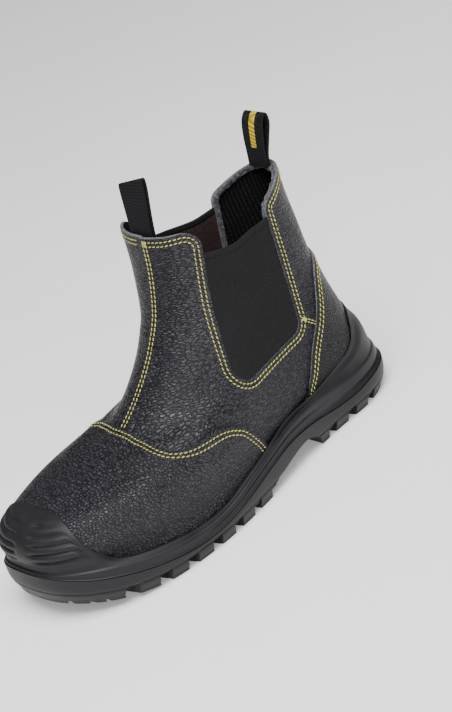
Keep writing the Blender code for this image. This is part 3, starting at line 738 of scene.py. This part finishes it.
def sew(name, seams):
    """Stitches along seams of (angle, climb, height above the leather, pitch, turn), copies of one bead."""
    bpy.ops.mesh.primitive_uv_sphere_add(segments=6, ring_count=4, radius=0.5)
    bead = bpy.context.object
    shape = np.array([vert.co for vert in bead.data.vertices]) * (THREAD, THREAD_FLAT * THREAD, STITCH)
    faces = [list(face.vertices) for face in bead.data.polygons]
    bpy.data.objects.remove(bead)
    corners, polygons = [], []
    for angle, climb, height, pitch, turn in seams:
        length = run_length(last_point(angle, climb))
        at = np.arange(pitch / 2, length[-1], pitch)
        angles, climbs = np.interp(at, length, angle), np.interp(at, length, climb)
        ahead, behind = (last_point(np.interp(at + step, length, angle), np.interp(at + step, length, climb))
                         for step in (STITCH_STEP, -STITCH_STEP))
        out = unit(np.cross(*last_slopes(angles, climbs)))
        along = unit(ahead - behind)
        aside = np.cross(out, along)
        along, aside = cos(turn) * along + sin(turn) * aside, cos(turn) * aside - sin(turn) * along
        middle = last_point(angles, climbs)
        lift = np.interp(at, length, np.broadcast_to(height, len(angle)))
        middle = middle + out * (lift + unevenness(middle) + THREAD_SINK)[:, None]
        for origin, a, b, c in zip(middle, aside, out, along):
            polygons.extend([corner + len(corners) for corner in face] for face in faces)
            corners.extend(origin + shape @ np.stack((a, b, c)))
    mesh = bpy.data.meshes.new(name)
    mesh.from_pydata(np.array(corners) * MM, [], polygons)
    row = bpy.data.objects.new(name, mesh)
    bpy.context.collection.objects.link(row)
    mesh.materials.append(thread)
    shade(row, 80)
    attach(row, "root")


def collar_line(distance):
    """Angle and climb along the edge of collar and cut-outs, all round, drawn at a distance inside it."""
    edge = rounded(list(CUT_OUT.values())[1:-1])
    even = run_length(edge)
    at = np.arange(0, even[-1], COLLAR_STEP)
    edge = np.stack((np.interp(at, even, edge[:, 0]), np.interp(at, even, edge[:, 1])), -1)
    angle, climb = last_at(*beside_line(edge, distance).T, 1)
    within = np.flatnonzero((angle > 0) & (angle < pi))
    outer_half = slice(within[0] - 1, within[-1] + 2)
    return all_round(angle[outer_half], climb[outer_half])


def front_row(ends, steps, arc, pitch, turn):
    """Row down the front at an arc's length past the outer quarter's edge."""
    climbs = np.linspace(*ends, steps)
    angles = np.array([angle_at(climb, lap_edge(climb) + arc) for climb in climbs])
    return angles, climbs, LAP_HEIGHT, pitch, turn


def edge_rows(edge_angle, edge_climb, side):
    """Both rows along a panel's edge, on one side of the boot."""
    paths = [beside_path(edge_angle, edge_climb, -distance) for distance in ROWS]
    return [(side * angle, climb, PANEL_TOP, PITCH, side * SLANT) for angle, climb in paths]


seams = []
for distance in ROWS:
    angle, climb = collar_line(distance)
    arc = run_length(last_point(angle, climb))
    arc = np.where(arc < arc[-1] / 2, arc, arc - arc[-1]) - lap_edge(TOP)
    seams.append((angle, climb, lap_height(arc), PITCH, SLANT))
for arc in FRONT_ROWS:
    seams.append(front_row(FRONT_SEAM, FRONT_POINTS, arc, PITCH, SLANT))
back_climb = np.linspace(*BACK_CENTRE_SEAM, BACK_POINTS)
for arc in BACK_CENTRE_ROWS:
    back_angle = np.array([angle_at(climb, arc, pi) for climb in back_climb])
    seams.append((back_angle, back_climb, 0.0, PITCH, SLANT))
for arc in (FRONT_ROWS[0] + FRONT_TACK_INSET, FRONT_ROWS[1] - FRONT_TACK_INSET):
    seams.append(front_row(FRONT_TACK, TACK_POINTS, arc, TACK_PITCH, pi / 2))
sew("quarter_stitching", seams)

sew("vamp_stitching", edge_rows(vamp_angle, vamp_climb, 1) + edge_rows(vamp_angle, inner_climb, -1))

seams = []
for side in (1, -1):
    seams += edge_rows(counter_angle, counter_climb, side)
    start, end = np.array(BACK_SEAM)
    line = start + (end - start) * np.linspace(0, 1, SHORT_POINTS)[:, None]
    for distance in BACK_SEAM_ROWS:
        angle, climb = last_at(*beside_line(line, distance).T, side)
        seams.append((angle, climb, 0.0, BACK_SEAM_PITCH, 0.0))
    tack = start + unit(end - start) * np.linspace(-0.5, 0.5, TACK_POINTS)[:, None] * TACK_LENGTH
    seams.append((*last_at(*tack.T, side), TACK_HEIGHT, TACK_PITCH, pi / 2))
sew("counter_stitching", seams)


# Collar facing: a narrow strip of grey split leather that binds the lining inside the back of the collar and
# down the rear edges of the cut-outs. Its raw, fluffy edge shows on the rim.
# Section of the strip: distance from the collar's edge, depth behind the leather's outer face
FACING_SECTION = ((0.1, -1.9), (-0.1, -2.9), (0.4, -3.9), (1.8, -4.4), (3.4, -4.0), (3.9, -3.0), (3.6, -1.9),
                  (0.1, -1.9))
FACING_LOWEST, FACING_COLUMNS, FACING_INNER = 112.0, 260, -2.0
FLUFF, FLUFF_WAVES = 0.6, (1.7, 2.9, 4.3)
# The strip passes inside the back pull tab's foot: how much deeper, and the half widths it does so over
TAB_BULGE, TAB_BULGE_ENDS = 2.6, (9.0, 15.0)

# Split leather: matt blue-grey suede with tufts and dark hollows between them
suede = speckled_finish("grey_split_leather", {"Roughness": 0.95, "Sheen Weight": 0.3}, 700.0, 4.0,
                        ((0.35, "#0c0c0e"), (0.65, "#54555c")), (0.9, 0.5))

section_lines = []
for distance, depth in FACING_SECTION:
    angle, climb = collar_line(distance)
    low = np.flatnonzero(last_point(angle, climb)[:, 2] < FACING_LOWEST)
    middle = len(angle) // 2
    back = slice(low[low < middle].max(), low[low > middle].min() + 1)
    angle, climb = angle[back], climb[back]
    length = run_length(last_point(angle, climb))
    even = np.linspace(0, length[-1], FACING_COLUMNS + 1)
    angle, climb = np.interp(even, length, angle), np.interp(even, length, climb)
    fine, middling, long = (even / wave for wave in FLUFF_WAVES)
    fluff = FLUFF * np.sin(fine + 2 * np.sin(middling)) * np.sin(long + 3 * distance)
    aside = np.abs(last_point(angle, climb)[:, 1] + CENTRE[1])
    bulge = TAB_BULGE * (1 - smooth_step(*TAB_BULGE_ENDS, aside))
    section_lines.append(off_last(angle, climb, depth + (fluff - bulge) * (depth < FACING_INNER)))
strip = welded_solid("collar_facing", section_lines, suede)
shade(strip, 60)
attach(strip, "root")


# Footbed: thin foam covered with grey needle felt, cut to the shape of the last and laid loose on the
# midsole. It shows only down through the collar.
INSOLE, INSOLE_MARGIN, INSOLE_CLIMB = 4.0, 3.5, 0.1
# Its section from the middle of the underside to the middle of the top: share of height, share drawn in
INSOLE_SECTION = ((0, 1), (0, 0.5), (0, 0), (0.6, -0.01), (1.0, 0), (1.0, 0.03), (0.94, 0.2), (0.88, 0.6),
                  (0.86, 1))
HALF_COLUMNS, END_CROWDING = 130, 0.8

# Needle felt: dark grey, matt, with a fleck of lighter fibres
felt = speckled_finish("grey_needle_felt", {"Roughness": 0.95, "Sheen Weight": 0.2}, 1200.0, 4.0,
                       ((0.3, "#2d2d2e"), (0.7, "#55555a")), (0.6, 0.3))

half = np.linspace(0, 1, HALF_COLUMNS + 1)
half = pi * (half - END_CROWDING * np.sin(2 * pi * half) / (2 * pi))
round_angles, _ = all_round(half, half)
round_degrees = np.degrees(np.minimum(round_angles, 2 * pi - round_angles))


def feather_z(points):
    """Height of the line where leather meets sole, at points of the boot."""
    return level_z(LAST[0], points[:, 0] + CENTRE[0])


def closing(loop, share):
    """A loop drawn in towards its middle line by a share."""
    return loop + share * ((loop + loop[::-1]) / 2 - loop)


rim = off_last(round_angles, INSOLE_CLIMB, -INSOLE_MARGIN)
loops = []
for lift, share in INSOLE_SECTION:
    loop = closing(rim, share)
    loop[:, 2] = feather_z(loop) + INSOLE * lift
    loops.append(loop)
footbed = welded_solid("felt_footbed", loops, felt)
shade(footbed, 40)
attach(footbed, "root")
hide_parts("insole")


# Midsole: the softer polyurethane layer foamed straight onto the lasted upper. It rises as a grooved bumper
# over the toe, a stepped band along the sides and a cup round the heel.
# Side view of the joint between midsole and tread, and of the ledge above it: x, z
LIP = (
    (-154, 17.5), (-121, 16.6), (-98, 15), (-86, 15.5), (-62, 19.5), (-36, 21.5), (-9, 18.5), (15, 14.3),
    (30, 12), (48, 10.6), (64, 10.8), (87, 14.4), (104, 18.2), (119, 22.4), (128, 25), (137, 28.3),
    (146, 32), (157, 36))
LEDGE = (
    (-154, 30), (-100, 30.5), (-78, 32.2), (-54, 32.6), (-34, 31), (-13, 27), (8, 23.2), (28, 18.8),
    (49, 17.2), (69, 18.9), (87, 21.6), (103, 25), (118, 29.5), (130, 32), (146, 35), (157, 38.5))
GAP, RIM_CLEAR, RIM_TUCK = 0.3, 0.6, 1.3
# Level outlines of the band between them: shares of its height, and the columns LEVEL_COLUMNS picks in LAST
MIDSOLE_RISE = (0.0, 0.2, 0.5, 0.85, 1.0)
MIDSOLE = np.array((
    (151.5, -151, 55, 62.8, 51.8, -98, 40.2, 2.6, 2.3),
    (151.3, -150.2, 55, 62.3, 51.3, -98, 39.8, 2.6, 2.3),
    (151.2, -149.5, 55, 62.0, 51.0, -98, 39.6, 2.6, 2.3),
    (151, -148, 54, 61.4, 50.4, -98, 39.2, 2.6, 2.3),
    (150, -146.5, 54, 60.2, 49.4, -98, 38.2, 2.6, 2.3),
))
RIM_THICKNESS, LEDGE_THICKNESS, CUP_THICKNESS, RIM_CROWN = 1.0, 2.6, 3.0, 0.035
# Where the rim lies below the feather line it closes under the leather
LOW_RIM, LOW_RIM_STEP, UNDER_LEATHER = (0.15, -0.05), 0.05, 3.0
# How far the rim stands off the leather, from the toe round to the heel: degrees, share of RIM_TUCK
TUCK = ((0, 1), (100, 1), (106, 0), (111, 0), (117, 1), (180, 1))
BAND_ROWS, RIM_ROWS, CROWN_ROWS, INNER_ROWS = 24, 60, 6, 9
# Level grooves over the bumper: their climbs, half width and depth, and how far below the rim they run out.
# A plain strip over the toe, beside its middle line, interrupts them.
TOE_GROOVES, TOE_GROOVE, TOE_GROOVE_DEPTH = (0.74, 1.02, 1.34, 1.68, 2.0), 0.06, 1.6
TOE_GROOVE_END, TOE_STRIP_Y, TOE_STRIP = (0.1, 0.5), 9.0, (3.0, 11.0)
# Relief of the band: height or depth, place and half width, both as shares of the band's height
JOINT_BEAD, HEEL_GROOVE, SIDE_GROOVE = (0.4, 0.04, 0.03), (1.4, 0.22, 0.09), (0.6, 0.5, 0.06)
HEEL_ANGLES, SIDE_GROOVE_X = (112.0, 138.0), (62.0, 38.0, -80.0, -56.0)
TOE_FILL_ANGLES, TOE_FOOT, TOE_SET_BACK, TOE_SLOPE, CUP_FILL = (42.0, 28.0), 0.45, 0.2, 1.3, 3.0
CUP_SHOULDER, CUP_SHOULDER_DEPTH = (0.9, 0.55), 1.2

# Moulded polyurethane: matt dark grey skin, cloudy, with the fine sandblast texture of the mould
rubber, tree, shader, place = new_finish("moulded_polyurethane", {"IOR": 1.5, "Specular IOR Level": 0.3})
clouds = add_node(tree, "TexNoise", {"Vector": place.outputs["Object"], "Scale": 45.0, "Detail": 4.0})
grit = add_node(tree, "TexNoise", {"Vector": place.outputs["Object"], "Scale": 1000 / 0.7, "Detail": 2.0})
set_inputs(shader, {
    "Base Color": add_node(tree, "ValToRGB", {"Fac": clouds}, ((0.3, "#17171a"), (0.7, "#1f1f22"))),
    "Roughness": add_node(tree, "MapRange", {"Value": clouds, "From Min": 0.3, "From Max": 0.7,
                                             "To Min": 0.46, "To Max": 0.58}),
    "Normal": add_node(tree, "Bump", {"Height": grit, "Strength": 0.25, "Distance": 0.12 * MM}),
})


def lip_z(x):
    """Top of the tread block, where the midsole starts."""
    return eased(*np.array(LIP).T, x)


def ledge_z(x):
    """Top of the midsole's side band."""
    return eased(*np.array(LEDGE).T, x)


def sole_loop(level, height, swell):
    """Loop of the sole: height gives z along the boot, swell how far it is moved out."""
    x, y = outline(round_angles, np.broadcast_to(level, (len(round_angles), len(level))))
    flat = np.stack((x, y), -1)
    along = np.gradient(flat, axis=0)
    along[0] = along[-1] = flat[1] - flat[-2]
    along = unit(along)
    flat = flat + np.broadcast_to(swell(x), x.shape)[:, None] * np.stack((along[:, 1], -along[:, 0]), -1)
    return np.stack((flat[:, 0], flat[:, 1], height(x)), -1) - CENTRE


rim_climb = eased(*np.array(RIM).T, round_degrees)
low_rim = smooth_step(*LOW_RIM, rim_climb)
toe_front = smooth_step(*TOE_FILL_ANGLES, round_degrees)
rim_foot = np.minimum(TOE_FOOT * toe_front, rim_climb - LOW_RIM_STEP)
rim_wall = RIM_THICKNESS + (LEDGE_THICKNESS - RIM_THICKNESS) * low_rim
clearance = RIM_CLEAR + RIM_TUCK * np.interp(round_degrees, *np.array(TUCK).T)
at_heel = smooth_step(*HEEL_ANGLES, round_degrees)
toe_line = last_point(round_angles, 1.0)
beside_strip = np.abs(toe_line[:, 1] + CENTRE[1] - swing(toe_line[:, 0]) - TOE_STRIP_Y)
grooved = toe_front * smooth_step(*TOE_STRIP, beside_strip)


def band_swell(x, rise):
    """Relief of the side band: a bead on the joint, the heel's groove and a finer groove along the waist."""
    in_waist = smooth_step(*SIDE_GROOVE_X[:2], x) * smooth_step(*SIDE_GROOVE_X[2:], x)
    bead, heel, side = (size * bump_at(rise, place, width)
                        for size, place, width in (JOINT_BEAD, HEEL_GROOVE, SIDE_GROOVE))
    return bead - heel * at_heel - side * in_waist


loops = []
for rise in np.linspace(0, 1, BAND_ROWS + 1):
    level = eased(MIDSOLE_RISE, MIDSOLE, np.array(rise))
    loops.append(sole_loop(level, lambda x: lip_z(x) + rise * (ledge_z(x) - lip_z(x)) + GAP,
                           lambda x: band_swell(x, rise)))
# The bumper's foot stands flush with the band below it
reach = np.linalg.norm((loops[-1] - last_point(round_angles, rim_foot))[:, :2], axis=-1)
toe_fill = toe_front * np.maximum(reach - clearance - CUP_THICKNESS - TOE_SET_BACK, 0)
loops = [closing(loops[0], 1), closing(loops[0], 0.5)] + loops
for share in np.linspace(0, 1, RIM_ROWS + 1)[2:]:
    climb = rim_foot + share * (rim_climb - rim_foot)
    grooves = sum(bump_at(climb, level, TOE_GROOVE) for level in TOE_GROOVES) * grooved
    grooves = TOE_GROOVE_DEPTH * grooves * smooth_step(*TOE_GROOVE_END, rim_climb - climb)
    shoulder = CUP_SHOULDER_DEPTH * smooth_step(*CUP_SHOULDER, share) * at_heel
    fill = toe_fill * (1 - share) ** TOE_SLOPE + CUP_FILL * at_heel * (1 - share) ** 2
    wall = CUP_THICKNESS + (rim_wall - CUP_THICKNESS) * share + fill
    loops.append(off_last(round_angles, climb, clearance + wall - grooves + shoulder))
for turn in np.linspace(0, pi, CROWN_ROWS)[1:-1]:
    crown = rim_climb + RIM_CROWN * sin(turn)
    loops.append(off_last(round_angles, crown, clearance + rim_wall * (0.5 + 0.5 * cos(turn))))
inner_wall = clearance - (clearance + UNDER_LEATHER) * low_rim
for share in np.linspace(1, 0, INNER_ROWS):
    loops.append(off_last(round_angles, share * rim_climb, inner_wall))
bed = loops[-1].copy()
bed[:, 2] = feather_z(bed) - GAP
loops += [bed, closing(bed, 0.5), closing(bed, 1)]
midsole = welded_solid("moulded_midsole", loops, rubber)
shade(midsole, 42)
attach(midsole, "root")
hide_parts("midsole")


# Outsole: the harder tread layer, moulded with side lugs between slanted notches, wavy grooves under the
# toe, chevrons under the ball and a ring under the heel, and an arch at the waist.
SPRING_START, TOE_SPRING = 70.0, 14.0
# Level outlines from the floor up to the joint, with rises and columns like those of the midsole
OUTSOLE_RISE = (0.0, 0.4, 1.0)
OUTSOLE = np.array((
    (149.6, -146, 56, 61.0, 50.0, -98, 37.5, 2.5, 2.2),
    (152.3, -150, 56, 62.5, 51.5, -98, 40.0, 2.6, 2.3),
    (152.5, -152, 55, 63.5, 52.5, -98, 41.0, 2.6, 2.3),
))
OUTSOLE_ROWS = 33
FORE_NOTCH_FRONT, FORE_NOTCHES, HEEL_NOTCH_FRONT, HEEL_NOTCHES = 124.0, 7, -68.0, 3
LUG_PITCH, NOTCH_WIDTH, NOTCH_DEPTH, NOTCH_INNER, NOTCH_SLANT = 20.4, 7.2, 5.5, 24.0, radians(14)
LUG_HEIGHT, LUG_PROUD, POCKET_WIDTH = 7.5, 2.2, 7.9
LUG_CREASE, LUG_CREASE_ABOVE, LUG_CREASE_WIDTH = 0.6, 0.6, 0.7
# Side view of the arch from the ball back to the heel: x, z
ARCH = ((-3, -6), (-7, 2), (-12, 6.5), (-22, 9.5), (-34, 12), (-44, 13.5), (-52, 13), (-58, 10), (-63, 5),
        (-66, -6))
# Grooves under the sole, each with its width and depth
WAVE_FRONT, WAVE_PITCH, WAVES, WAVE_GROOVE = 141.0, 6.6, 3, (2.4, 2.2)
WAVE_LENGTH, WAVE_HEIGHT, WAVE_REACH = 26.0, 1.6, 70.0
CHEVRON_FRONT, CHEVRONS, CHEVRON_REACH, CHEVRON_POINT, CHEVRON_GROOVE = 108.0, 6, 19.0, 9.0, (4.2, 3.5)
HEEL_RING, HEEL_RING_HALF, HEEL_RING_GROOVE = (-104.0, 0.0), (33.0, 20.0), (3.0, 3.0)
HEEL_TIPS, HEEL_TIP_REACH, HEEL_TIP_GROOVE = (-88.0, -106.0), 11.0, (3.6, 3.0)
GROOVE_BELOW = 4.0
WAVE_POINTS, RING_POINTS, ARCH_POINTS = 71, 65, 40


def tread_z(x):
    """Underside of the tread: flat at heel and ball, lifted at the toe."""
    return TOE_SPRING * np.maximum((x - SPRING_START) / (TOE_X - SPRING_START), 0) ** 2


def groove(line, width, depth):
    """Corners of a cutter along a line of x and y under the sole; the line may come back to its start."""
    along = unit(np.gradient(line, axis=0))
    if np.allclose(line[0], line[-1]):
        along[0] = along[-1] = unit(line[1] - line[-2])
    aside = np.stack((-along[:, 1], along[:, 0]), -1) * width / 2
    right, left = line - aside, line + aside
    deep, low = tread_z(line[:, 0]) + depth, tread_z(line[:, 0]) - GROOVE_BELOW
    corners = ((right, low), (left, low), (left, deep), (right, deep), (right, low))
    return np.array([np.column_stack(corner) for corner in corners]) - CENTRE


def cut_grooves(lines):
    """All grooves of a list of (line, width, depth), cut out of the outsole at once."""
    cutters = [welded_solid("groove", groove(*line)) for line in lines]
    select_only(cutters[0])
    for cutter in cutters:
        cutter.select_set(True)
    bpy.ops.object.join()
    cut(outsole, cutters[0], "DIFFERENCE", rubber)


def chevron(tip, reach):
    """Line of a V under the sole, its tip towards the toe."""
    back = tip - CHEVRON_POINT
    return np.array(((back, -reach), (tip, 0), (back, reach))) + (0, swing(tip))


loops = []
for rise in np.linspace(0, 1, OUTSOLE_ROWS + 1):
    level = eased(OUTSOLE_RISE, OUTSOLE, np.array(rise))
    loops.append(sole_loop(level, lambda x: tread_z(x) + rise * (lip_z(x) - tread_z(x)),
                           lambda x: -LUG_CREASE * bump_at(rise * (lip_z(x) - tread_z(x)),
                                                           LUG_HEIGHT + LUG_CREASE_ABOVE, LUG_CREASE_WIDTH)))
underside = [closing(loops[0], 1), closing(loops[0], 0.5)]
outsole = welded_solid("tread_outsole", underside + loops + [closing(loops[-1], 0.5), closing(loops[-1], 1)],
                       rubber)

wall = sole_loop(OUTSOLE[1], tread_z, np.zeros_like) + CENTRE
walls = {1: wall[HALF_COLUMNS::-1], -1: wall[HALF_COLUMNS:]}
notches, pockets = [], []
fronts = [FORE_NOTCH_FRONT - LUG_PITCH * k for k in range(FORE_NOTCHES)]
fronts += [HEEL_NOTCH_FRONT - LUG_PITCH * k for k in range(HEEL_NOTCHES)]
for front in fronts:
    x = front - NOTCH_WIDTH / 2
    for side in (1, -1):
        start = np.array((x, side * NOTCH_INNER + swing(x)))
        run = np.array((-sin(NOTCH_SLANT), side * cos(NOTCH_SLANT)))
        half_width = abs(np.interp(x, walls[side][:, 0], walls[side][:, 1]) - swing(x))
        reach = (half_width - LUG_PROUD - NOTCH_INNER) / cos(NOTCH_SLANT)
        notches.append((start + run * np.array((0, CUT_REACH))[:, None], NOTCH_WIDTH, NOTCH_DEPTH))
        pockets.append((start + run * np.array((reach, CUT_REACH))[:, None], POCKET_WIDTH, LUG_HEIGHT))
cut_grooves(notches)
cut_grooves(pockets)

lines = []
for k in range(WAVES):
    y = np.linspace(-WAVE_REACH, WAVE_REACH, WAVE_POINTS)
    x = WAVE_FRONT - WAVE_PITCH * k + WAVE_HEIGHT * np.cos(2 * pi * y / WAVE_LENGTH)
    lines.append((np.column_stack((x, y)), *WAVE_GROOVE))
for k in range(CHEVRONS):
    lines.append((chevron(CHEVRON_FRONT - LUG_PITCH * k, CHEVRON_REACH), *CHEVRON_GROOVE))
turn = np.linspace(0, 2 * pi, RING_POINTS)
ring = np.array(HEEL_RING) + np.array(HEEL_RING_HALF) * np.column_stack((np.cos(turn), np.sin(turn)))
lines.append((ring, *HEEL_RING_GROOVE))
for tip in HEEL_TIPS:
    lines.append((chevron(tip, HEEL_TIP_REACH), *HEEL_TIP_GROOVE))
cut_grooves(lines)

arch_x, arch_z = np.array(ARCH, float).T
side_x = np.linspace(arch_x[0], arch_x[-1], ARCH_POINTS)
arch = np.column_stack((side_x, eased(-arch_x, arch_z, -side_x)))
cut(outsole, side_prism("arch", arch, -CUT_REACH, CUT_REACH), "DIFFERENCE", rubber)
shade(outsole, 35)
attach(outsole, "root")
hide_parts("outsole")
